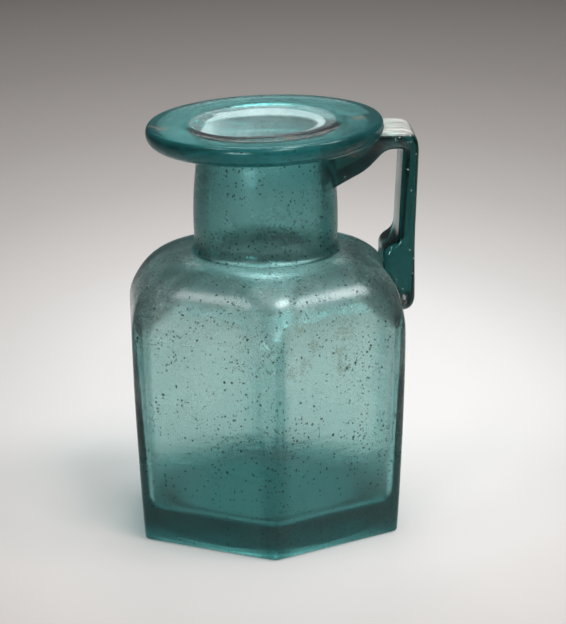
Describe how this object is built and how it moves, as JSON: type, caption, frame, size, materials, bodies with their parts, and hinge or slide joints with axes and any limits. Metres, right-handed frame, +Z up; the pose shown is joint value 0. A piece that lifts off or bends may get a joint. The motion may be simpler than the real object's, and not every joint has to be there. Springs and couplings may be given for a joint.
{
  "type": "glass bottle",
  "caption": "Hexagonal blown-glass bottle with rounded shoulders, a short wide neck, a broad folded rim and a strap handle from shoulder to rim.",
  "frame": {"origin": "on the bottle's axis, on the plane that its flat underside stands on", "axes": "+Z up from the underside to the rim, +X from the axis towards the handle, +Y completes a right-handed frame and runs through two corners of the hexagon; metres"},
  "size_m": [0.1017, 0.1086, 0.1458],
  "materials": {
    "vessel_glass": "see-through blue-green glass, dulled and finely pitted by burial, roughness about 0.25",
    "handle_glass": "see-through blue-green glass, thicker, darker and glossier than the body"
  },
  "bodies": {
    "root": {"vessel": "vessel_glass", "handle": "handle_glass"}
  },
  "joints": []
}
